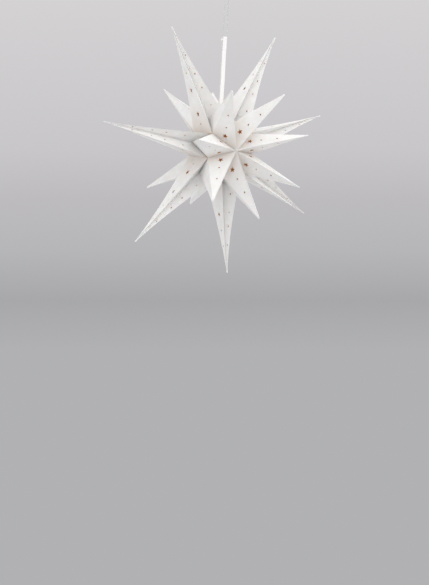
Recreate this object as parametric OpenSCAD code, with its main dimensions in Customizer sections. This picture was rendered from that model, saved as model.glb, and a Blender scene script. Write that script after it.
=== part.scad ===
// Folded card star that hangs on a clear line from a screw hook in the ceiling.
// Millimetres. +Z is up and the star's front faces -Y. The origin is where the hook's collar meets the ceiling.

/* [Star] */
// Axis of the star to the end of a long point
long_reach = 300; // [240:1:380]
// Axis of the star to the end of a short point
short_reach = 147; // [120:1:180]
// Plane of the long points to the end of a short point, along the axis
short_rise = 161; // [130:1:200]
// Plane of the long points to the nose where the front faces meet
nose_rise = 80; // [66:1:96]
// Axis to the glued valleys between the segments
waist_reach = 61; // [50:1:74]
// Length of the straight middle of a valley
waist_length = 88; // [72:1:106]
// How far the straight middle of a valley sits towards the front
waist_forward = 10; // [0:1:14]
// Axis to the notch between a short and a long point
notch_reach = 74; // [70:1:90]
// Plane of the long points to that notch
notch_rise = 8; // [6:0.5:14]
// Angle from each segment to the next, clockwise from the closing seam
fan_angles = [55, 45, 48, 51, 52, 56, 53];

/* [Card] */
// Thickness of the card
card_t = 0.6; // [0.4:0.1:0.9]
// Width of the glued fin that stands out along each outline
fin_w = 2.4; // [1.6:0.1:3.2]
// Width of the glue flap that is turned in along each valley
flap_w = 8; // [7:0.5:10]

/* [Cut-outs] */
// Diameter of the round cut-outs
dot_d = 4.2; // [3:0.1:5.4]
// Point to point size of the star cut-outs on the short points
short_star_d = 15; // [8:0.5:15]
// Point to point size of the star cut-outs on the long points
long_star_d = 16; // [8:0.5:16]
// Diameter of the opening in the closing seam, for the tape or a lamp cord
outlet_d = 16; // [14:1:20]

/* [Closing pads] */
// Diameter of a hook-and-loop pad
pad_d = 7; // [5:0.5:8]
// Thickness of one pad
pad_t = 1; // [0.6:0.1:1.4]

/* [Hanging tape] */
// Width of the cotton tape
tape_w = 10; // [8:0.5:10]
// Thickness of the tape
tape_t = 1; // [0.8:0.1:1.4]
// Diameter of the disc that holds the tape's ends inside the star
disc_d = 30; // [26:1:34]
// Thickness of that disc
disc_t = 1.5; // [1:0.1:2.4]

/* [Hanging line] */
// Diameter of the clear line
line_d = 1.2; // [0.8:0.1:1.4]
// Diameter of its knot
knot_d = 5; // [3:0.1:6]

/* [Hook] */
// Diameter of the hook's wire
wire_d = 5; // [4:0.1:5.4]
// Radius of the hook's bend, to the middle of the wire
bend_r = 11; // [9:0.5:14]
// Diameter of the wood screw
screw_d = 3.5; // [3:0.1:4.5]
// Length of the screw's shank, without its point
screw_l = 18; // [14:1:25]
// Diameter of the collar that stops against the ceiling
collar_d = 14; // [11:1:20]
// Thickness of the collar
collar_t = 2.5; // [2:0.5:4]

/* [Hidden] */
$fn = 48;
// Heights: the bottom of the hook's bend, the top of the tape's fold and the star's axis
bend_z = -30.5;
fold_z = -133;
axis_z = -390;
// Clearance between pieces that only pass each other, and how far fins and flaps keep off the axis
gap = 0.3;
keep_off = 4;
// Size of the relief where creases meet
relief = 1;

// The hanging line's run over the hook, and its short run through the tape's fold
line_run = [
    [-5.8, 0, -130], [-5.8, 0, -124], [-5.5, 0, -113], [-5.1, 0, -100], [-4.7, 0, -84],
    [-4.2, 0, -66], [-3.8, 0, -50], [-3.5, 0, -37], [-3.4, 0, -30.5], [-2.9, 0, -28.7],
    [-1.7, 0, -27.5], [0, 0, -27.1], [1.7, 0, -27.5], [2.9, 0, -28.7], [3.4, 0, -30.5],
    [3.5, 0, -37], [3.8, 0, -50], [4.2, 0, -66], [4.7, 0, -84], [5.1, 0, -100],
    [5.5, 0, -113], [5.8, 0, -124], [5.8, 0, -130]
];
eye_run = [
    [-5.8, 0, -130], [-5.8, 0, -132.5], [-5.5, 0, -134.4], [-4.6, 0, -135.9], [-3.1, 0, -136.8],
    [0, 0, -137.2], [3.1, 0, -136.8], [4.6, 0, -135.9], [5.5, 0, -134.4], [5.8, 0, -132.5],
    [5.8, 0, -130]
];

// The 14 half cards are numbered in pairs, clockwise from the closing seam as seen from the front.
segments = len(fan_angles);

// ---- outline of a segment: [distance from the axis, height along it], from the nose to the tail ----
waist_front = waist_forward + waist_length / 2;
waist_back = waist_forward - waist_length / 2;
rim_line = [
    [0, nose_rise], [short_reach, short_rise], [notch_reach, notch_rise], [long_reach, 0],
    [notch_reach, -notch_rise], [short_reach, -short_rise], [0, -nose_rise]
];

// Turn of segment k round the axis, and the half angles to its neighbours' valleys
function fanned(k) = k == 0 ? 0 : fan_angles[k - 1] + fanned(k - 1);
function turn_of(k) = 90 + fan_angles[0] / 2 - fanned(k);
function half_left(k) = fan_angles[(k + segments - 1) % segments] / 2;
function half_right(k) = fan_angles[k] / 2;

// Height of the nose ridge at a distance from the axis
function ridge_z(r) = nose_rise + r * (short_rise - nose_rise) / short_reach;

// The valley's line in its own plane, for a card held off that plane by e
function valley_line(h, e) = [
    [e / tan(h), ridge_z(e / sin(h))], [waist_reach, waist_front],
    [waist_reach, waist_back], [e / tan(h), -ridge_z(e / sin(h))]
];

// Points of the rim plane and of the valley plane in a segment's own frame
function on_rim(p) = [p[0], 0, p[1]];
function on_valley(p, h, e) = [p[0] * cos(h) + e * sin(h), p[0] * sin(h) - e * cos(h), p[1]];

function unit(v) = v / norm(v);
function middle(a, b) = (a + b) / 2;
function right_of(a, b) = unit([b[1] - a[1], a[0] - b[0]]);

// A corner moved to the right of the way round, by d
function shifted(a, p, b, d) =
    let (m = right_of(a, p), n = right_of(p, b))
    p + d * (m + n) / (1 + m * n);

// Each corner of a panel is cut off by the relief, so that the card is open by a pinhole where creases meet.
function relieved(flat) = [
    for (i = [0:2])
        for (other = [(i + 2) % 3, (i + 1) % 3])
            flat[i] + relief * unit(flat[other] - flat[i])
];

// ---- one flat panel of card, with cut-outs on the line from its first corner to the far side's middle ----
// Each cut-out is [distance from the first corner, size, number of points or 0 for a round one].
module panel(corners, cuts) {
    normal = unit(cross(corners[1] - corners[0], corners[2] - corners[0]));
    lean = acos(normal[2]);
    heading = atan2(normal[1], normal[0]);
    u = [cos(lean) * cos(heading), cos(lean) * sin(heading), -sin(lean)];
    v = [-sin(heading), cos(heading), 0];
    flat = [for (c = corners) [(c - corners[0]) * u, (c - corners[0]) * v]];
    median = unit(middle(flat[1], flat[2]));
    translate(corners[0])
    rotate([0, lean, heading])
    translate([0, 0, -card_t / 2])
    linear_extrude(card_t)
    difference() {
        polygon(relieved(flat));
        for (cut = cuts)
            translate(median * cut[0])
            rotate(atan2(-median[1], -median[0]))
            cut_out(cut[1], cut[2]);
    }
}

module cut_out(size, points) {
    if (points > 0)
        polygon([for (i = [0:2 * points - 1])
            (i % 2 == 0 ? size / 2 : size / 4.6) * [cos(180 * i / points), sin(180 * i / points)]]);
    else
        circle(d = size);
}

// ---- the flap that is turned in along the valley ----
module flap_strip(h, e) {
    line = valley_line(h, e);
    intersection() {
        polygon([
            line[0], line[1], line[2], line[3], line[3] + [0, flap_w * 1.1],
            shifted(line[1], line[2], line[3], flap_w), shifted(line[0], line[1], line[2], flap_w),
            line[0] - [0, flap_w * 1.1]
        ]);
        translate([keep_off, -long_reach])
        square([long_reach, 2 * long_reach]);
    }
}

// ---- the fin that stands out along the outline, square across each point ----
module fin_strip() {
    n = len(rim_line);
    intersection() {
        union() {
            for (i = [0:n - 2]) {
                a = rim_line[i];
                b = rim_line[i + 1];
                out = -fin_w * right_of(a, b);
                polygon([a + out, b + out, b - out / 2, a - out / 2]);
            }
            for (i = [1, 3, 5]) {
                before = -fin_w * right_of(rim_line[i - 1], rim_line[i]);
                after = -fin_w * right_of(rim_line[i], rim_line[i + 1]);
                polygon([
                    rim_line[i] + before, rim_line[i] + after,
                    rim_line[i] - after / 2, rim_line[i] - before / 2
                ]);
            }
        }
        translate([keep_off, -long_reach])
        square([2 * long_reach, 2 * long_reach]);
    }
}

// ---- the wedge of space that belongs to one half card ----
module wedge(h, e) {
    far = 1.5 * long_reach;
    translate([0, 0, -long_reach])
    linear_extrude(2 * long_reach)
    polygon([[e / sin(h), 0], [far, 0], [far, far * tan(h) - e / cos(h)]]);
}

// ---- one half card: its rim lies in the XZ plane and its valley is h degrees round from it ----
module half_card(h, e) {
    nose = on_rim([e / sin(h), ridge_z(e / sin(h))]);
    front_tip = on_rim(rim_line[1]);
    front_notch = on_rim(rim_line[2]);
    long_tip = on_rim(rim_line[3]);
    back_notch = on_rim(rim_line[4]);
    back_tip = on_rim(rim_line[5]);
    tail = on_rim([e / sin(h), -ridge_z(e / sin(h))]);
    front_waist = on_valley([waist_reach, waist_front], h, e);
    back_waist = on_valley([waist_reach, waist_back], h, e);
    face_cuts = [[134, short_star_d, 5], [108, dot_d, 0], [71, dot_d, 0]];
    wall_cuts = [[69, dot_d, 0], [116, dot_d, 0], [150, dot_d, 0], [195, dot_d, 0]];
    side_cuts = [
        [68, dot_d, 0], [107, dot_d, 0], [147, long_star_d * 0.85, 5],
        [203, long_star_d, 5], [227, dot_d, 0]
    ];
    intersection() {
        wedge(h, e);
        union() {
            panel([front_tip, nose, front_waist], face_cuts);
            panel([front_tip, front_waist, front_notch], []);
            panel([long_tip, front_notch, front_waist], wall_cuts);
            panel([long_tip, front_waist, back_waist], side_cuts);
            panel([long_tip, back_waist, back_notch], wall_cuts);
            panel([back_tip, back_notch, back_waist], []);
            panel([back_tip, back_waist, tail], face_cuts);
        }
    }
    translate([0, card_t, 0])
    rotate([90, 0, 0])
    linear_extrude(card_t)
    fin_strip();
    rotate([0, 0, h])
    translate([0, -e, 0])
    rotate([90, 0, 0])
    linear_extrude(card_t)
    flap_strip(h, e);
}

// ---- places things from the star's own frame: x to the right, y up, z to the front ----
module in_star() {
    translate([0, 0, axis_z])
    rotate([90, 0, 0])
    children();
}

// The opening in the closing seam
module outlet() {
    translate([0, waist_reach - 2 * flap_w, 0])
    rotate([-90, 0, 0])
    cylinder(d = outlet_d, h = 3 * flap_w + outlet_d);
}

module left_card(k, e) {
    color("white")
    in_star()
    difference() {
        rotate([0, 0, turn_of(k)])
        half_card(half_left(k), e);
        if (e > 0) outlet();
    }
}

module right_card(k, e) {
    color("white")
    in_star()
    difference() {
        rotate([0, 0, turn_of(k)])
        mirror([0, 1, 0])
        half_card(half_right(k), e);
        if (e > 0) outlet();
    }
}

// The pads hold the seam's two cards apart, so those two stop one pad's thickness from the seam's plane.
module card_1_left() { left_card(0, 0); }
module card_2_left() { left_card(1, pad_t); }
module card_3_left() { left_card(2, 0); }
module card_4_left() { left_card(3, 0); }
module card_5_left() { left_card(4, 0); }
module card_6_left() { left_card(5, 0); }
module card_7_left() { left_card(6, 0); }
module card_1_right() { right_card(0, pad_t); }
module card_2_right() { right_card(1, 0); }
module card_3_right() { right_card(2, 0); }
module card_4_right() { right_card(3, 0); }
module card_5_right() { right_card(4, 0); }
module card_6_right() { right_card(5, 0); }
module card_7_right() { right_card(6, 0); }

// ---- hook-and-loop pads in the closing seam, in front of and behind the opening ----
module pad(along, start) {
    color("ivory")
    in_star()
    translate([start, waist_reach - flap_w / 2, waist_forward + along * waist_length])
    rotate([0, 90, 0])
    cylinder(d = pad_d, h = pad_t);
}

module pad_front_hook() { pad(0.36, -pad_t); }
module pad_front_loop() { pad(0.36, 0); }
module pad_back_hook() { pad(-0.36, -pad_t); }
module pad_back_loop() { pad(-0.36, 0); }

// ---- the tape: folded over the line, through the opening, its ends turned out under the disc ----
leg_in = line_d / 2 + gap;
leg_out = leg_in + tape_t;
disc_top = axis_z + waist_reach - flap_w;

module hanging_tape() {
    bend = fold_z - leg_out;
    foot = disc_top - disc_t;
    color("linen")
    rotate([90, 0, 90])
    linear_extrude(tape_w, center = true)
    union() {
        intersection() {
            translate([0, bend])
            difference() {
                circle(r = leg_out);
                circle(r = leg_in);
            }
            translate([-leg_out, bend])
            square([2 * leg_out, leg_out]);
        }
        for (s = [0, 1])
            mirror([s, 0]) {
                translate([leg_in, foot - tape_t])
                square([tape_t, bend - foot + tape_t]);
                translate([leg_in, foot - tape_t])
                square([disc_d / 4, tape_t]);
            }
    }
}

// ---- the card disc that the tape's ends are glued to, under the seam's flaps ----
module tape_anchor() {
    color("tan")
    translate([0, 0, disc_top - disc_t])
    difference() {
        cylinder(d = disc_d, h = disc_t);
        translate([-tape_w / 2 - gap, -leg_out - gap, -1])
        cube([tape_w + 2 * gap, 2 * (leg_out + gap), disc_t + 2]);
    }
}

// ---- the clear line: one tube swept along hand-set points, three rings to a step ----
function at(run, i) = run[min(max(i, 0), len(run) - 1)];
function eased(a, b, c, d, t) =
    (2 * b + (c - a) * t + (2 * a - 5 * b + 4 * c - d) * t * t + (3 * b - a - 3 * c + d) * t * t * t) / 2;
function along(run) = concat(
    [for (i = [0:len(run) - 2]) for (j = [0:2])
        eased(at(run, i - 1), at(run, i), at(run, i + 1), at(run, i + 2), j / 3)],
    [run[len(run) - 1]]
);
function heading_of(run, points, i) =
    i == 0 ? unit(run[1] - run[0]) :
    i == len(points) - 1 ? unit(run[len(run) - 1] - run[len(run) - 2]) :
    unit(points[i + 1] - points[i - 1]);

module tube(run, d) {
    sides = 8;
    points = along(run);
    rings = len(points);
    skin = [for (i = [0:rings - 1])
        let (way = heading_of(run, points, i), across = cross(way, [0, 1, 0]))
        for (j = [0:sides - 1])
            points[i] + d / 2 * (cos(45 * j) * across + sin(45 * j) * [0, 1, 0])];
    walls = [for (i = [0:rings - 2]) for (j = [0:sides - 1])
        [i * sides + j, i * sides + (j + 1) % sides, (i + 1) * sides + (j + 1) % sides, (i + 1) * sides + j]];
    start = [for (j = [0:sides - 1]) sides - 1 - j];
    end = [for (j = [0:sides - 1]) (rings - 1) * sides + j];
    polyhedron(points = skin, faces = concat([start], walls, [end]));
}

module hanging_line() {
    color("lightcyan")
    tube(line_run, line_d);
}

module line_eye() {
    color("lightcyan")
    tube(eye_run, line_d);
}

// The knot hangs on the line's doubled end, beside the tape's left edge.
module line_knot() {
    knot_x = -tape_w / 2 - gap - knot_d / 2;
    color("white")
    union() {
        translate([knot_x, 0, fold_z - 8])
        sphere(d = knot_d);
        translate([-5.8, 0, fold_z - 8])
        cylinder(d = line_d * 0.9, h = 8);
    }
}

// ---- the coated hook: screw, collar, shank and a three-quarter bend in the YZ plane ----
module ceiling_hook() {
    middle_z = bend_z + bend_r;
    color("gainsboro")
    union() {
        cylinder(d = screw_d, h = screw_l);
        translate([0, 0, screw_l])
        cylinder(d1 = screw_d, d2 = 0.6, h = 3);
        translate([0, 0, -collar_t])
        cylinder(d = collar_d, h = collar_t);
        translate([0, 0, middle_z + bend_r])
        cylinder(d = wire_d, h = -collar_t - middle_z - bend_r);
        translate([0, 0, middle_z + bend_r])
        sphere(d = wire_d);
        translate([0, 0, middle_z])
        rotate([90, 0, 90])
        rotate([0, 0, -180])
        rotate_extrude(angle = 270)
        translate([bend_r, 0])
        circle(d = wire_d);
        translate([0, -bend_r, middle_z])
        sphere(d = wire_d);
    }
}

ceiling_hook();
hanging_line();
line_eye();
line_knot();
hanging_tape();
tape_anchor();
pad_front_hook();
pad_front_loop();
pad_back_hook();
pad_back_loop();
card_1_left();
card_2_left();
card_3_left();
card_4_left();
card_5_left();
card_6_left();
card_7_left();
card_1_right();
card_2_right();
card_3_right();
card_4_right();
card_5_right();
card_6_right();
card_7_right();
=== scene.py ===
import bpy
import random
from math import cos, pi, radians, sin, sqrt
from mathutils import Matrix, Vector, geometry


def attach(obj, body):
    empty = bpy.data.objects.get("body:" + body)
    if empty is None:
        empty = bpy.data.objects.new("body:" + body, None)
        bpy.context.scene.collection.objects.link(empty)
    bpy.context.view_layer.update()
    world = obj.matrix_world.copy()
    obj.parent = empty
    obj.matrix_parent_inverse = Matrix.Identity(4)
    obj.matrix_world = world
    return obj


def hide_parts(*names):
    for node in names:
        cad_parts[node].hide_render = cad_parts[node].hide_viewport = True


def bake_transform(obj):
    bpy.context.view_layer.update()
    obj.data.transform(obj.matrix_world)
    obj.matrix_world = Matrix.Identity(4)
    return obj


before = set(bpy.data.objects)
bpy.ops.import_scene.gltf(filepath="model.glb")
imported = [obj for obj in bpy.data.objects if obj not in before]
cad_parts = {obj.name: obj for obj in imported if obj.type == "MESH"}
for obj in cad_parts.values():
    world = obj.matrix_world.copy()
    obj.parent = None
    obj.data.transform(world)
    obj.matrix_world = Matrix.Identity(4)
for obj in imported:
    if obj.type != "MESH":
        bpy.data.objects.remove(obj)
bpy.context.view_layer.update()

# ---- camera ----
# It stands level with the star, 30 degrees to the left of its front, 2.4 m away.
# The star hangs slightly askew to it, which a small roll gives.
star_middle = Vector((0, 0, -0.390))
round_by = radians(-30.4)
above_by = radians(1.9)
stand = star_middle + 2.4 * Vector((
    sin(round_by) * cos(above_by), -cos(round_by) * cos(above_by), sin(above_by)))
camera_data = bpy.data.cameras.new("camera")
camera_data.sensor_fit = "VERTICAL"
camera_data.sensor_height = 36
camera_data.lens = 1009 / 585 * 36
camera_data.clip_end = 40
camera = bpy.data.objects.new("camera", camera_data)
bpy.context.scene.collection.objects.link(camera)
facing = (star_middle - stand).to_track_quat("-Z", "Y").to_matrix().to_4x4()
camera.matrix_world = (
    Matrix.Translation(stand) @ facing @ Matrix.Rotation(radians(3.3), 4, "Z")
    @ Matrix.Rotation(radians(-8.11), 4, "X") @ Matrix.Rotation(radians(0.22), 4, "Y"))
bpy.context.scene.camera = camera


# ---- clear line ----
# A length of clear nylon line, doubled: from its knot up over the hook, down and back through the tape's fold.
# It is extruded nylon, 1.2 mm thick, smooth and springy, and nearly invisible against a pale wall.
def paint(code, alpha=1.0):
    """The linear colour of an sRGB hex value."""
    parts = [int(code[i:i + 2], 16) / 255 for i in (0, 2, 4)]
    return [c / 12.92 if c <= 0.04045 else ((c + 0.055) / 1.055) ** 2.4 for c in parts] + [alpha]


def deselect():
    bpy.ops.object.select_all(action="DESELECT")


def work_on(piece):
    deselect()
    piece.select_set(True)
    bpy.context.view_layer.objects.active = piece


def put_mesh(name, points, faces):
    mesh = bpy.data.meshes.new(name)
    mesh.from_pydata([tuple(p) for p in points], [], faces)
    mesh.validate()
    piece = bpy.data.objects.new(name, mesh)
    bpy.context.scene.collection.objects.link(piece)
    return piece


def new_material(name):
    material = bpy.data.materials.new(name)
    material.use_nodes = True
    return material, material.node_tree, material.node_tree.nodes["Principled BSDF"]


def add_node(tree, kind, settings=None, links=None):
    """Adds one node, sets its fields or sockets, and links sockets by name to other nodes' outputs."""
    made = tree.nodes.new(kind)
    for key, value in (settings or {}).items():
        if isinstance(key, str) and hasattr(made, key):
            setattr(made, key, value)
        else:
            made.inputs[key].default_value = value
    for key, source in (links or {}).items():
        tree.links.new(source, made.inputs[key])
    return made


def smooth_path(points, parts=4):
    """A smooth run through given points."""
    out = []
    for i in range(len(points) - 1):
        a, b = Vector(points[max(i - 1, 0)]), Vector(points[i])
        c, d = Vector(points[i + 1]), Vector(points[min(i + 2, len(points) - 1)])
        for j in range(parts):
            t = j / parts
            out.append(0.5 * (2 * b + (c - a) * t + (2 * a - 5 * b + 4 * c - d) * t * t
                              + (3 * b - a - 3 * c + d) * t ** 3))
    out.append(Vector(points[-1]))
    return out


def tube_mesh(name, path, thick, sides=10, closed=False):
    """A round tube along a path, its ends closed with a cap."""
    points, faces = [], []
    count = len(path)
    across = None
    for i in range(count):
        way = (path[(i + 1) % count] - path[i - 1]) if closed else (
            path[min(i + 1, count - 1)] - path[max(i - 1, 0)])
        way.normalize()
        if across is None:
            across = way.orthogonal().normalized()
        across = (across - way * across.dot(way)).normalized()
        other = way.cross(across)
        for j in range(sides):
            turn = 2 * pi * j / sides
            points.append(path[i] + thick / 2 * (cos(turn) * across + sin(turn) * other))
    for i in range(count - (0 if closed else 1)):
        for j in range(sides):
            k = (i + 1) % count
            faces.append((i * sides + j, i * sides + (j + 1) % sides, k * sides + (j + 1) % sides, k * sides + j))
    if not closed:
        faces.append(tuple(reversed(range(sides))))
        faces.append(tuple(range((count - 1) * sides, count * sides)))
    piece = put_mesh(name, points, faces)
    work_on(piece)
    bpy.ops.object.mode_set(mode="EDIT")
    bpy.ops.mesh.select_all(action="SELECT")
    bpy.ops.mesh.normals_make_consistent(inside=False)
    bpy.ops.object.mode_set(mode="OBJECT")
    bpy.ops.object.shade_smooth()
    deselect()
    return piece


line_points = [
    (-5.6, -134.0), (-5.8, -132.5), (-5.8, -130), (-5.8, -124), (-5.5, -113), (-5.1, -100), (-4.7, -84),
    (-4.2, -66), (-3.8, -50), (-3.5, -37), (-3.4, -30.5), (-2.9, -28.7), (-1.7, -27.5), (0, -27.1),
    (1.7, -27.5), (2.9, -28.7), (3.4, -30.5), (3.5, -37), (3.8, -50), (4.2, -66), (4.7, -84),
    (5.1, -100), (5.5, -113), (5.8, -124), (5.8, -130), (5.8, -132.5), (5.5, -134.4), (4.6, -135.9),
    (3.1, -136.8), (0, -137.2), (-3.1, -136.8), (-4.4, -136.2)]
line_path = smooth_path([(x / 1000, 0, z / 1000) for x, z in line_points])
clear_line = tube_mesh("clear_line", line_path, 0.0012)

# Nylon 6 line: IOR 1.53, smooth, and clear with a faint milky cast.
nylon, tree, shader = new_material("clear_nylon")
grain = add_node(tree, "ShaderNodeTexNoise", {"Scale": 900, "Detail": 2},
                 {"Vector": add_node(tree, "ShaderNodeTexCoord").outputs["Object"]})
tint = add_node(tree, "ShaderNodeValToRGB", {}, {"Fac": grain.outputs["Fac"]})
tint.color_ramp.elements[0].color = paint("e6eaec")
tint.color_ramp.elements[1].color = paint("f7f8f8")
tree.links.new(tint.outputs["Color"], shader.inputs["Base Color"])
shader.inputs["Roughness"].default_value = 0.12
shader.inputs["IOR"].default_value = 1.53
shader.inputs["Transmission Weight"].default_value = 0.8
clear_line.data.materials.append(nylon)

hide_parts("hanging_line", "line_eye")
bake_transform(clear_line)


# ---- knot ----
# The line's two ends are tied together in a small tight knot, which hangs beside the tape's left edge.
# It is the same nylon, milky white where the turns lie on each other.
knot_middle = Vector((-0.0077, 0, -0.1408))
turns = []
for i in range(72):
    t = 2 * pi * i / 72
    turns.append(knot_middle + 0.00066 * Vector((
        sin(t) + 2 * sin(2 * t), 1.15 * -sin(3 * t), cos(t) - 2 * cos(2 * t))))
knot = tube_mesh("line_knot_turns", turns, 0.0018, 8, True)
tails = []
for side, drop in ((-0.0006, 0.0052), (0.0004, 0.0035)):
    tails.append(tube_mesh("tail", smooth_path([
        knot_middle + Vector((side * 0.4, 0, -0.0006)),
        knot_middle + Vector((side, 0.0002, -0.0006 - drop * 0.12)),
        knot_middle + Vector((side * 1.4, 0.0003, -0.0008 - drop * 0.2))]), 0.0010, 8))
stem = tube_mesh("stem", smooth_path([
    (-0.0057, 0, -0.1342), (-0.0063, 0, -0.1360), (-0.0070, 0, -0.1380), (-0.0076, 0, -0.1400)]), 0.0012, 8)
work_on(knot)
for piece in tails + [stem]:
    piece.select_set(True)
bpy.ops.object.join()
deselect()
milky, tree, shader = new_material("milky_nylon")
grain = add_node(tree, "ShaderNodeTexNoise", {"Scale": 700, "Detail": 3},
                 {"Vector": add_node(tree, "ShaderNodeTexCoord").outputs["Object"]})
tint = add_node(tree, "ShaderNodeValToRGB", {}, {"Fac": grain.outputs["Fac"]})
tint.color_ramp.elements[0].color = paint("f0f0ef")
tint.color_ramp.elements[1].color = paint("fbfbfa")
tree.links.new(tint.outputs["Color"], shader.inputs["Base Color"])
shader.inputs["Roughness"].default_value = 0.35
shader.inputs["IOR"].default_value = 1.53
knot.data.materials.append(milky)
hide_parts("line_knot")
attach(knot, "star")


# ---- ceiling hook ----
# A screw hook of 5 mm steel wire, dipped in white plastic, with a collar that stops against the ceiling.
# The screw above the collar stays bare zinc-plated steel, with a coarse wood thread rolled on it.
coated, tree, shader = new_material("white_plastic_coated_steel")
coords = add_node(tree, "ShaderNodeTexCoord").outputs["Object"]
peel = add_node(tree, "ShaderNodeTexNoise", {"Scale": 500, "Detail": 2}, {"Vector": coords})
tint = add_node(tree, "ShaderNodeValToRGB", {}, {"Fac": peel.outputs["Fac"]})
tint.color_ramp.elements[0].color = paint("e4e4e1")
tint.color_ramp.elements[1].color = paint("efefec")
tree.links.new(tint.outputs["Color"], shader.inputs["Base Color"])
bump = add_node(tree, "ShaderNodeBump", {"Strength": 0.15, "Distance": 0.0003}, {"Height": peel.outputs["Fac"]})
tree.links.new(bump.outputs["Normal"], shader.inputs["Normal"])
shader.inputs["Roughness"].default_value = 0.3
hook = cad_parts["ceiling_hook"]
hook.data.materials.clear()
hook.data.materials.append(coated)

thread_path = []
for i in range(9 * 16 + 1):
    t = i / 16
    reach = 0.00175 if t < 7.5 else 0.00175 - 0.0009 * (t - 7.5) / 1.5
    thread_path.append(Vector((reach * cos(2 * pi * t), reach * sin(2 * pi * t), 0.0025 + t * 0.0019)))
thread = tube_mesh("screw_thread", thread_path, 0.0006, 6)
zinc, tree, shader = new_material("zinc_plated_steel")
coords = add_node(tree, "ShaderNodeTexCoord").outputs["Object"]
spangle = add_node(tree, "ShaderNodeTexNoise", {"Scale": 600, "Detail": 3}, {"Vector": coords})
tint = add_node(tree, "ShaderNodeValToRGB", {}, {"Fac": spangle.outputs["Fac"]})
tint.color_ramp.elements[0].color = paint("a9adb0")
tint.color_ramp.elements[1].color = paint("c9cccd")
tree.links.new(tint.outputs["Color"], shader.inputs["Base Color"])
shader.inputs["Metallic"].default_value = 1
shader.inputs["Roughness"].default_value = 0.35
thread.data.materials.append(zinc)
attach(thread, "hook")


# ---- hanging tape ----
# A flat cotton tape, 10 mm wide, woven in a plain twill and folded double over the line.
# Its two ends go in through the seam's opening and turn out under the card disc, where they are glued.
tape_w = 0.010
tape_t = 0.001
tape_leg = 0.0014
fold_z = -0.133
foot_z = -0.339
tape_run = []
for i in range(7):
    tape_run.append((-0.0089 + i * 0.0011, foot_z))
tape_run.append((-0.0019, foot_z + 0.0002))
tape_run.append((-tape_leg, foot_z + 0.0010))
for i in range(1, 40):
    tape_run.append((-tape_leg, foot_z + 0.001 + i / 40 * (fold_z - 0.0019 - foot_z - 0.001)))
for i in range(13):
    turn = pi - pi * i / 12
    tape_run.append((tape_leg * cos(turn), fold_z - 0.0019 + tape_leg * sin(turn)))
tape_run += [(-y, z) for y, z in reversed(tape_run[:48])]
lengths = [0]
for (y0, z0), (y1, z1) in zip(tape_run, tape_run[1:]):
    lengths.append(lengths[-1] + sqrt((y1 - y0) ** 2 + (z1 - z0) ** 2))
rows = 9
points, faces, marks = [], [], []
for i, (y, z) in enumerate(tape_run):
    free = min(1, max(0, (z - foot_z - 0.012) / 0.03)) * min(1, max(0, (fold_z - 0.006 - z) / 0.03))
    for j in range(rows):
        s = j / (rows - 1) - 0.5
        wander = 0.00022 * free * sin(lengths[i] * 61 + 1.0) + 0.00012 * free * sin(lengths[i] * 173)
        cup = 0.00016 * free * (4 * s * s - 0.5) * (-1 if y < 0 else 1)
        points.append((s * tape_w + wander, y + cup, z))
        marks.append((j / (rows - 1) * tape_w, lengths[i]))
for i in range(len(tape_run) - 1):
    for j in range(rows - 1):
        faces.append((i * rows + j, i * rows + j + 1, (i + 1) * rows + j + 1, (i + 1) * rows + j))
tape = put_mesh("cotton_tape", points, faces)
layer = tape.data.uv_layers.new(name="cloth")
for loop in tape.data.loops:
    layer.data[loop.index].uv = marks[loop.vertex_index]
work_on(tape)
bpy.ops.object.mode_set(mode="EDIT")
bpy.ops.mesh.select_all(action="SELECT")
bpy.ops.mesh.normals_make_consistent(inside=False)
bpy.ops.object.mode_set(mode="OBJECT")
wall = tape.modifiers.new("cloth_thickness", "SOLIDIFY")
wall.thickness = tape_t * 0.96
wall.offset = 0
bpy.ops.object.modifier_apply(modifier="cloth_thickness")
bpy.ops.object.shade_smooth_by_angle(angle=radians(40))
deselect()
# Bleached cotton, woven as a twill: threads 0.5 mm apart, drawn a little coarser so that they show.
cotton, tree, shader = new_material("bleached_cotton_twill")
cloth = add_node(tree, "ShaderNodeUVMap", {"uv_map": "cloth"}).outputs["UV"]
turned = add_node(tree, "ShaderNodeMapping", {"Rotation": (0, 0, radians(45))}, {"Vector": cloth})
twill = add_node(
    tree, "ShaderNodeTexWave",
    {"wave_type": "BANDS", "Scale": 90, "Distortion": 1.2, "Detail": 2, "Detail Scale": 40},
    {"Vector": turned.outputs["Vector"]})
fuzz = add_node(tree, "ShaderNodeTexNoise", {"Scale": 900, "Detail": 4}, {"Vector": cloth})
both = add_node(tree, "ShaderNodeMix", {"data_type": "FLOAT", "Factor": 0.45})
tree.links.new(twill.outputs["Fac"], both.inputs[2])
tree.links.new(fuzz.outputs["Fac"], both.inputs[3])
tint = add_node(tree, "ShaderNodeValToRGB", {}, {"Fac": both.outputs[0]})
tint.color_ramp.elements[0].color = paint("eeedeb")
tint.color_ramp.elements[1].color = paint("fbfafa")
tree.links.new(tint.outputs["Color"], shader.inputs["Base Color"])
bump = add_node(tree, "ShaderNodeBump", {"Strength": 0.5, "Distance": 0.0003}, {"Height": both.outputs[0]})
tree.links.new(bump.outputs["Normal"], shader.inputs["Normal"])
shader.inputs["Roughness"].default_value = 0.9
shader.inputs["Sheen Weight"].default_value = 0.15
tape.data.materials.append(cotton)
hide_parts("hanging_tape")
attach(tape, "star")


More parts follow.
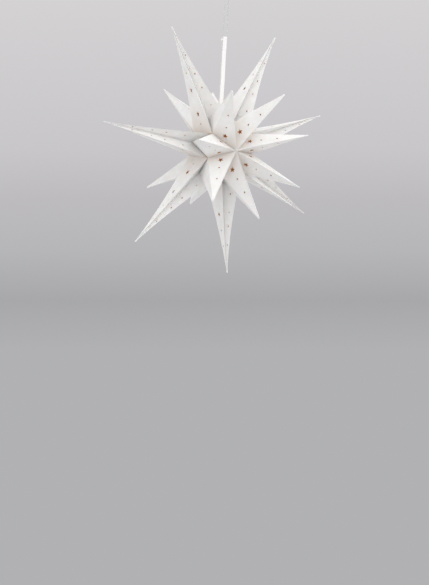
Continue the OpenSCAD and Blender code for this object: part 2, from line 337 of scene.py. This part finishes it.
# ---- card disc ----
# A punched disc of raw grey board with a slot for the tape. It bears on the seam's flaps from inside.
board, tree, shader = new_material("raw_grey_board")
coords = add_node(tree, "ShaderNodeTexCoord").outputs["Object"]
flecks = add_node(tree, "ShaderNodeTexNoise", {"Scale": 700, "Detail": 6, "Roughness": 0.7}, {"Vector": coords})
tint = add_node(tree, "ShaderNodeValToRGB", {}, {"Fac": flecks.outputs["Fac"]})
tint.color_ramp.elements[0].color = paint("a2978a")
tint.color_ramp.elements[1].color = paint("cfc6b8")
tree.links.new(tint.outputs["Color"], shader.inputs["Base Color"])
bump = add_node(tree, "ShaderNodeBump", {"Strength": 0.3, "Distance": 0.0002}, {"Height": flecks.outputs["Fac"]})
tree.links.new(bump.outputs["Normal"], shader.inputs["Normal"])
shader.inputs["Roughness"].default_value = 0.95
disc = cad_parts["tape_anchor"]
disc.data.materials.clear()
disc.data.materials.append(board)


# ---- closing pads ----
# Self-adhesive hook-and-loop dots, 7 mm across, in pairs between the two flaps of the closing seam.
# The hook dots are stiff little nylon hooks in rows, and the loop dots are a fuzzy knit.
for kind, low, high, fine, deep in (
        ("hook", "d9d7d0", "f0efea", 1100, 0.0004), ("loop", "cfccc4", "eeece6", 2200, 0.0003)):
    pad_stuff, tree, shader = new_material("nylon_" + kind + "_tape")
    coords = add_node(tree, "ShaderNodeTexCoord").outputs["Object"]
    pile = add_node(tree, "ShaderNodeTexVoronoi", {"Scale": fine, "Randomness": 0.2 if kind == "hook" else 1.0},
                    {"Vector": coords})
    tint = add_node(tree, "ShaderNodeValToRGB", {}, {"Fac": pile.outputs["Distance"]})
    tint.color_ramp.elements[0].color = paint(high)
    tint.color_ramp.elements[1].color = paint(low)
    tree.links.new(tint.outputs["Color"], shader.inputs["Base Color"])
    bump = add_node(tree, "ShaderNodeBump", {"Strength": 0.8, "Distance": deep},
                    {"Height": pile.outputs["Distance"]})
    tree.links.new(bump.outputs["Normal"], shader.inputs["Normal"])
    shader.inputs["Roughness"].default_value = 0.85
    for where in ("front", "back"):
        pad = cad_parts["pad_" + where + "_" + kind]
        pad.data.materials.clear()
        pad.data.materials.append(pad_stuff)


# ---- half cards ----
# Seven segments, each of two mirrored half sheets of white card, die-cut, punched and creased.
# The halves are glued along the outline, which leaves a narrow fin, and each is glued to the next segment's
# half along a flap that is turned in at the valley. The card pulls slightly hollow between its creases.
card_t = 0.6
fin_w = 2.4
flap_w = 8.0
pad_t = 1.0
dot_d = 4.2
short_star_d = 15
long_star_d = 16
white_inside_from = 0.270
fan = [55, 45, 48, 51, 52, 56, 53]
long_tip = (300, 0)
front_tip, back_tip = (147, 161), (147, -161)
front_notch, back_notch = (74, 8), (74, -8)
front_waist, back_waist = (61, 54), (61, -34)
steps = 12
rng = random.Random(7)

# Uncoated 300 g card, lightly calendered: bright white with a faint cloudy look-through and a warm core,
# matt, with fibres about half a millimetre long that only just roughen it.
card_stock, tree, shader = new_material("uncoated_white_card")
coords = add_node(tree, "ShaderNodeTexCoord").outputs["Object"]
clouds = add_node(tree, "ShaderNodeTexNoise", {"Scale": 45, "Detail": 4, "Roughness": 0.55}, {"Vector": coords})
fibres = add_node(tree, "ShaderNodeTexNoise", {"Scale": 1500, "Detail": 3, "Roughness": 0.65}, {"Vector": coords})
tint = add_node(tree, "ShaderNodeValToRGB", {}, {"Fac": clouds.outputs["Fac"]})
tint.color_ramp.elements[0].position = 0.3
tint.color_ramp.elements[0].color = paint("eeecea")
tint.color_ramp.elements[1].position = 0.7
tint.color_ramp.elements[1].color = paint("f6f5f4")
# The fold attribute mixes the base colour towards a warm beige (d9cfc6). This is painted shade, darker and warmer
# in the crevices near the valleys and on the turned-in flaps.
fold = add_node(tree, "ShaderNodeAttribute", {"attribute_name": "fold"})
painted_valley_shade_mix = add_node(tree, "ShaderNodeMix", {"data_type": "RGBA", "blend_type": "MIX"})
tree.links.new(fold.outputs["Fac"], painted_valley_shade_mix.inputs[0])
tree.links.new(tint.outputs["Color"], painted_valley_shade_mix.inputs[6])
painted_valley_shade_mix.inputs[7].default_value = paint("d9cfc6")
tree.links.new(painted_valley_shade_mix.outputs[2], shader.inputs["Base Color"])
bump = add_node(tree, "ShaderNodeBump", {"Strength": 0.12, "Distance": 0.0002}, {"Height": fibres.outputs["Fac"]})
tree.links.new(bump.outputs["Normal"], shader.inputs["Normal"])
shader.inputs["Roughness"].default_value = 0.85
shader.inputs["Specular IOR Level"].default_value = 0.25
shader.inputs["Subsurface Weight"].default_value = 0.1
shader.inputs["Subsurface Radius"].default_value = (1.0, 0.45, 0.2)
shader.inputs["Subsurface Scale"].default_value = 0.0009


# The inside of the card is its brown back. Its faint glow stands for the light that soaks through the card.
card_back, tree, shader = new_material("brown_card_back")
coords = add_node(tree, "ShaderNodeTexCoord").outputs["Object"]
flecks = add_node(tree, "ShaderNodeTexNoise", {"Scale": 700, "Detail": 4}, {"Vector": coords})
tint = add_node(tree, "ShaderNodeValToRGB", {}, {"Fac": flecks.outputs["Fac"]})
tint.color_ramp.elements[0].color = paint("bd8c52")
tint.color_ramp.elements[1].color = paint("d8a868")
tree.links.new(tint.outputs["Color"], shader.inputs["Base Color"])
shader.inputs["Roughness"].default_value = 0.9
tree.links.new(tint.outputs["Color"], shader.inputs["Emission Color"])
shader.inputs["Emission Strength"].default_value = 0.16


def ridge_z(r):
    return 80 + r * (161 - 80) / 147


def bezier_spot(corners, bows, a, b, c):
    """A point of a gently bowed panel, from its corners, its edges' bows and three weights."""
    return (a * corners[0] + b * corners[1] + c * corners[2]
            + 4 * a * b * bows[0] + 4 * b * c * bows[1] + 4 * c * a * bows[2])


def weights_of(triangle, q):
    """The weights of a flat triangle's second and third corners at a point."""
    one, two, there = triangle[1] - triangle[0], triangle[2] - triangle[0], q - triangle[0]
    area = one.x * two.y - one.y * two.x
    return (there.x * two.y - there.y * two.x) / area, (one.x * there.y - one.y * there.x) / area


def inside(loop, q):
    crossings = 0
    for a, b in zip(loop, loop[1:] + loop[:1]):
        if (a.y > q.y) != (b.y > q.y) and q.x < (b.x - a.x) * (q.y - a.y) / (b.y - a.y) + a.x:
            crossings += 1
    return crossings % 2 == 1


def half_card(number, side):
    k = number - 1
    h = radians((fan[k - 1] if side == "left" else fan[k]) / 2)
    e = pad_t if (number, side) in ((1, "right"), (2, "left")) else 0
    turn = radians(90 + fan[0] / 2 - sum(fan[:k]))
    hand = 1 if side == "left" else -1

    def rim(p, y=card_t):
        return Vector((p[0], y, p[1]))

    def valley(p):
        return Vector((p[0] * cos(h) + e * sin(h), p[0] * sin(h) - e * cos(h), p[1]))

    def to_frame(p):
        x, y = p.x * cos(turn) - hand * p.y * sin(turn), p.x * sin(turn) + hand * p.y * cos(turn)
        return Vector((x, -p.z, y - 390)) / 1000

    start_r = 0.7
    spot = {
        "nose": rim((start_r, ridge_z(start_r)), card_t / 2), "ft": rim(front_tip), "fn": rim(front_notch),
        "lt": rim(long_tip), "bn": rim(back_notch), "bt": rim(back_tip),
        "tail": rim((start_r, -ridge_z(start_r)), card_t / 2), "fw": valley(front_waist), "bw": valley(back_waist)}
    # How far each crease and edge pulls in from the straight, in millimetres
    wave = rng.uniform
    in_y = Vector((0, -1, 0))
    bow = {
        ("fw", "lt"): Vector((0, -2.4, -6.0)) * wave(0.9, 1.1),
        ("bw", "lt"): Vector((0, -2.4, 4.4)) * wave(0.9, 1.1),
        ("fn", "lt"): Vector((0, 0, -1.2)), ("bn", "lt"): Vector((0, 0, 1.2)),
        ("fw", "ft"): Vector((-1.2, -1.0, 0.6)) * wave(0.6, 1.2),
        ("bw", "bt"): Vector((-1.2, -1.0, -0.6)) * wave(0.6, 1.2),
        ("ft", "nose"): Vector((0.5, 0, -1.0)), ("bt", "tail"): Vector((0.5, 0, 1.0)),
        ("fn", "ft"): Vector((-0.8, 0, 0.3)), ("bn", "bt"): Vector((-0.8, 0, -0.3)),
        ("fn", "fw"): in_y * wave(-0.3, 0.5), ("bn", "bw"): in_y * wave(-0.3, 0.5)}

    def bow_of(a, b):
        return bow.get(tuple(sorted((a, b))), Vector((0, 0, 0)))

    points, faces, marks = [], [], []

    def add(p, mark=0.0):
        points.append(to_frame(p))
        marks.append(mark)
        return len(points) - 1

    def add_face(ring, out):
        """Adds a face whose outer side looks along out, given in the segment's own frame."""
        spots = [points[i] for i in ring]
        normal = Vector((0, 0, 0))
        for i in range(len(spots)):
            normal += spots[i].cross(spots[(i + 1) % len(spots)])
        aim = to_frame(out) - to_frame(Vector((0, 0, 0)))
        faces.append(tuple(ring) if normal.dot(aim) > 0 else tuple(reversed(ring)))

    panels = [
        (("ft", "nose", "fw"), (80, 0, 80), [(134, short_star_d, 5), (108, dot_d, 0), (71, dot_d, 0)]),
        (("ft", "fw", "fn"), (80, 0, 80), []),
        (("lt", "fn", "fw"), (120, 0, 0), [(69, dot_d, 0), (116, dot_d, 0), (150, dot_d, 0), (195, dot_d, 0)]),
        (("lt", "fw", "bw"), (120, 0, 0), [
            (68, dot_d, 0), (107, dot_d, 0), (147, long_star_d * 0.85, 5), (203, long_star_d, 5),
            (227, dot_d, 0)]),
        (("lt", "bw", "bn"), (120, 0, 0), [(69, dot_d, 0), (116, dot_d, 0), (150, dot_d, 0), (195, dot_d, 0)]),
        (("bt", "bn", "bw"), (80, 0, -80), []),
        (("bt", "bw", "tail"), (80, 0, -80), [(134, short_star_d, 5), (108, dot_d, 0), (71, dot_d, 0)])]
    for names, inner, cuts in panels:
        corners = [spot[n] for n in names]
        bows = [bow_of(names[0], names[1]), bow_of(names[1], names[2]), bow_of(names[2], names[0])]
        out = (corners[1] - corners[0]).cross(corners[2] - corners[0]).normalized()
        if out.dot(sum(corners, Vector((0, 0, 0))) / 3 - Vector(inner)) < 0:
            out = -out
        # The panel laid flat: its outline, a grid of inner points, and the outline of each cut-out
        u_way = (corners[1] - corners[0]).normalized()
        v_way = out.cross(u_way)
        flat_corners = [Vector(((c - corners[0]).dot(u_way), (c - corners[0]).dot(v_way))) for c in corners]
        flat, edges, holes = [], [], []
        for m in range(3):
            for i in range(steps):
                flat.append(flat_corners[m].lerp(flat_corners[(m + 1) % 3], i / steps))
                edges.append((len(flat) - 1, len(flat) % (3 * steps)))
        reach = (flat_corners[1] + flat_corners[2]).length / 2
        middle_way = (flat_corners[1] + flat_corners[2]).normalized()
        cross_way = Vector((-middle_way.y, middle_way.x))
        for along, size, rays in cuts:
            loop = []
            for i in range(2 * rays if rays else 20):
                turned = pi + 2 * pi * i / (2 * rays if rays else 20)
                wide = size / 2 * (0.435 if rays and i % 2 else 1)
                loop.append(middle_way * (along + wide * cos(turned)) + cross_way * wide * sin(turned))
            holes.append(loop)
        if e > 0 and names == ("lt", "fw", "bw"):
            seam_way = Vector((cos(h), sin(h), 0))
            aside = Vector((sin(h), -cos(h), 0))
            loop = []
            for i in range(32):
                x, z = 8 * cos(2 * pi * i / 32), 8 * sin(2 * pi * i / 32)
                low = aside * x + Vector((0, 0, z))
                up = out.dot(corners[0] - low) / out.dot(seam_way)
                there = low + seam_way * up - corners[0]
                loop.append(Vector((there.dot(u_way), there.dot(v_way))))
            holes.append(loop)
        for loop in holes:
            first = len(flat)
            flat += loop
            edges += [(first + i, first + (i + 1) % len(loop)) for i in range(len(loop))]
        for i in range(1, steps):
            for j in range(1, steps - i):
                q = (flat_corners[0] * (steps - i - j) + flat_corners[1] * i + flat_corners[2] * j) / steps
                if all((q - sum(loop, Vector((0, 0))) / len(loop)).length > 9 for loop in holes):
                    flat.append(q)
        laid = geometry.delaunay_2d_cdt(flat, edges, [], 0, 0.0001)
        spots = []
        for q in laid[0]:
            b, c = weights_of(flat_corners, q)
            weights = dict(zip(names, (1 - b - c, b, c)))
            # The fold value rises towards the valley corners and carries the painted shade of the crevices.
            deep = sum(weights.get(n, 0) for n in ("fw", "bw", "nose", "tail"))
            spots.append(add(bezier_spot(corners, bows, 1 - b - c, b, c), max(0.0, deep - 0.72) / 0.28 * 0.55))
        for ring in laid[2]:
            middle = sum((laid[0][i] for i in ring), Vector((0, 0))) / len(ring)
            b, c = weights_of(flat_corners, middle)
            if min(b, c, 1 - b - c) > 0.0004 and not any(inside(loop, middle) for loop in holes):
                add_face([spots[i] for i in ring], out)

    # The fin along the outline
    outline = ["nose", "ft", "fn", "lt", "bn", "bt", "tail"]
    outward = []
    for a, b in zip(outline, outline[1:]):
        d = (spot[b] - spot[a]).normalized()
        outward.append(Vector((-d.z, 0, d.x)))
    for i, (a, b) in enumerate(zip(outline, outline[1:])):
        base, edge = [], []
        for j in range(steps + 1):
            s = j / steps
            p = spot[a] * (1 - s) + spot[b] * s + 4 * s * (1 - s) * bow_of(a, b)
            o = outward[i]
            if j == 0 and a in ("fn", "bn"):
                o = (outward[i - 1] + outward[i]) / (1 + outward[i - 1].dot(outward[i]))
            if j == steps and b in ("fn", "bn"):
                o = (outward[i] + outward[i + 1]) / (1 + outward[i].dot(outward[i + 1]))
            wide = 0.02 if (j == 0 and a == "nose") or (j == steps and b == "tail") else fin_w
            base.append(add(p))
            edge.append(add(p + o * wide))
        for j in range(steps):
            add_face([base[j], base[j + 1], edge[j + 1], edge[j]], Vector((0, 1, 0)))
        if b in ("ft", "bt"):
            tip = add(spot[b])
            one, two = add(spot[b] + outward[i] * fin_w), add(spot[b] + outward[i + 1] * fin_w)
            add_face([tip, one, two], Vector((0, 1, 0)))

    # The flap along the valley
    seam = ["nose", "fw", "bw", "tail"]
    u = Vector((cos(h), sin(h), 0))
    flat = [Vector((spot[n].dot(u), spot[n].z)) for n in seam]
    inward = []
    for a, b in zip(flat, flat[1:]):
        d = (b - a).normalized()
        inward.append(Vector((d.y, -d.x)))
    turned_in = [flat[0] + Vector((0, -flap_w * 1.1)),
                 flat[1] + flap_w * (inward[0] + inward[1]) / (1 + inward[0].dot(inward[1])),
                 flat[2] + flap_w * (inward[1] + inward[2]) / (1 + inward[1].dot(inward[2])),
                 flat[3] + Vector((0, flap_w * 1.1))]
    over = Vector((-sin(h), cos(h), 0))
    lift = spot["fw"].dot(over)
    for i in range(3):
        base, edge = [], []
        places = [j / steps for j in range(steps + 1)]
        if i == 1 and e > 0:
            places = [0, 0.17, 0.35, 46 / 88, 62 / 88, 0.85, 1]
        for s in places:
            p = spot[seam[i]] * (1 - s) + spot[seam[i + 1]] * s
            q = turned_in[i] * (1 - s) + turned_in[i + 1] * s
            # The flap carries the painted shade through its fold value.
            base.append(add(p, 0.55))
            q_r = max(q.x, 3.2)
            edge.append(add(u * q_r + over * lift + Vector((0, 0, q.y)), 0.55))
        for j in range(len(places) - 1):
            if len(places) == steps + 1 or j != 3:
                add_face([base[j], base[j + 1], edge[j + 1], edge[j]], over)

    piece = put_mesh("half_card_%d_%s" % (number, side), points, faces)
    # The fold attribute holds the painted shade near the valleys and the flaps.
    layer = piece.data.attributes.new("fold", "FLOAT", "POINT")
    layer.data.foreach_set("value", marks)
    work_on(piece)
    bpy.ops.object.mode_set(mode="EDIT")
    bpy.ops.mesh.select_all(action="SELECT")
    bpy.ops.mesh.remove_doubles(threshold=0.00003)
    bpy.ops.object.mode_set(mode="OBJECT")
    wall = piece.modifiers.new("card_thickness", "SOLIDIFY")
    wall.thickness = card_t / 1000
    wall.offset = -1
    wall.material_offset = 1
    piece.data.materials.append(card_stock)
    piece.data.materials.append(card_back)
    bpy.ops.object.modifier_apply(modifier="card_thickness")

    # Near the end of a long point the walls are closer than the card is thick, so their inside is white too
    for face in piece.data.polygons:
        if (face.center - star_middle).length > white_inside_from:
            face.material_index = 0
    bpy.ops.object.shade_smooth_by_angle(angle=radians(14))
    deselect()
    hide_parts("card_%d_%s" % (number, side))
    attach(piece, "star")


for number in range(1, 8):
    for side in ("left", "right"):
        half_card(number, side)


# ---- wall, floor and lamps ----
# A plain pale wall whose tone to the camera is painted light, lighter at the top and darker lower down; a plain
# pale floor; and soft lamps above and to the right.
def seen_only(name, colour=None):
    """A matt grey that shows a set tone to the camera, in glass and in gloss."""
    material, tree, shader = new_material(name)
    shader.inputs["Base Color"].default_value = paint("dcdcdd")
    shader.inputs["Roughness"].default_value = 1
    glow = add_node(tree, "ShaderNodeEmission", {"Strength": 1})
    if colour:
        glow.inputs["Color"].default_value = paint(colour)
    rays = add_node(tree, "ShaderNodeLightPath")
    one = add_node(tree, "ShaderNodeMath", {"operation": "MAXIMUM"})
    tree.links.new(rays.outputs["Is Camera Ray"], one.inputs[0])
    tree.links.new(rays.outputs["Is Glossy Ray"], one.inputs[1])
    two = add_node(tree, "ShaderNodeMath", {"operation": "MAXIMUM"})
    tree.links.new(one.outputs[0], two.inputs[0])
    tree.links.new(rays.outputs["Is Transmission Ray"], two.inputs[1])
    mixed = add_node(tree, "ShaderNodeMixShader", {}, {"Fac": two.outputs[0]})
    tree.links.new(shader.outputs[0], mixed.inputs[1])
    tree.links.new(glow.outputs[0], mixed.inputs[2])
    tree.links.new(mixed.outputs[0], tree.nodes["Material Output"].inputs["Surface"])
    return material, tree, glow


bpy.ops.mesh.primitive_plane_add(size=9)
wall = bpy.context.active_object
wall.name = "pale_wall"
wall.matrix_world = camera.matrix_world @ Matrix.Translation((0, 0, -5.6))
wall_paint_and_painted_light, tree, glow = seen_only("pale_wall_paint")
# The wall's tone to the camera is painted light. It grades from a darker grey low down to a lighter grey at the
# top.
height = add_node(tree, "ShaderNodeSeparateXYZ", {}, {
    "Vector": add_node(tree, "ShaderNodeTexCoord").outputs["Object"]})
scaled = add_node(tree, "ShaderNodeMapRange", {"From Min": -2.0, "From Max": 2.0}, {"Value": height.outputs["Y"]})
fade = add_node(tree, "ShaderNodeValToRGB", {}, {"Fac": scaled.outputs["Result"]})
for at, code in ((0.4895, "a8a8aa"), (0.559, "b6b6b8"), (0.629, "bdbbbe"), (0.6985, "c8c6c9"), (0.9075, "d4d2d3")):
    stop = fade.color_ramp.elements.new(at)
    stop.color = paint(code)
fade.color_ramp.elements[0].position = 0.42
fade.color_ramp.elements[0].color = paint("b1b1b3")
fade.color_ramp.elements[-1].color = paint("d4d2d3")
tree.links.new(fade.outputs["Color"], glow.inputs["Color"])
wall.data.materials.append(wall_paint_and_painted_light)
deselect()

bpy.ops.mesh.primitive_plane_add(size=14, location=(0, 0, -2.3))
floor = bpy.context.active_object
floor.name = "pale_floor"
floor_paint, tree, glow = seen_only("pale_floor_paint", colour="b1b1b3")
floor.data.materials.append(floor_paint)
deselect()

world = bpy.data.worlds.new("room")
bpy.context.scene.world = world
world.use_nodes = True
world.node_tree.nodes["Background"].inputs["Color"].default_value = paint("ffffff")
world.node_tree.nodes["Background"].inputs["Strength"].default_value = 1.0


def soft_lamp(name, place, aim, size, power):
    data = bpy.data.lights.new(name, "AREA")
    data.shape = "DISK"
    data.size = size
    data.energy = power
    lamp = bpy.data.objects.new(name, data)
    bpy.context.scene.collection.objects.link(lamp)
    lamp.location = place
    lamp.rotation_euler = (Vector(aim) - Vector(place)).to_track_quat("-Z", "Y").to_euler()


away = camera.matrix_world.to_3x3()
soft_lamp("lamp_front_right", star_middle + away @ Vector((1.5, 0.9, 1.7)), star_middle, 1.6, 10)
soft_lamp("lamp_above", star_middle + away @ Vector((0.2, 2.1, 0.3)), star_middle, 1.4, 3)

bpy.context.scene.view_settings.view_transform = "Standard"
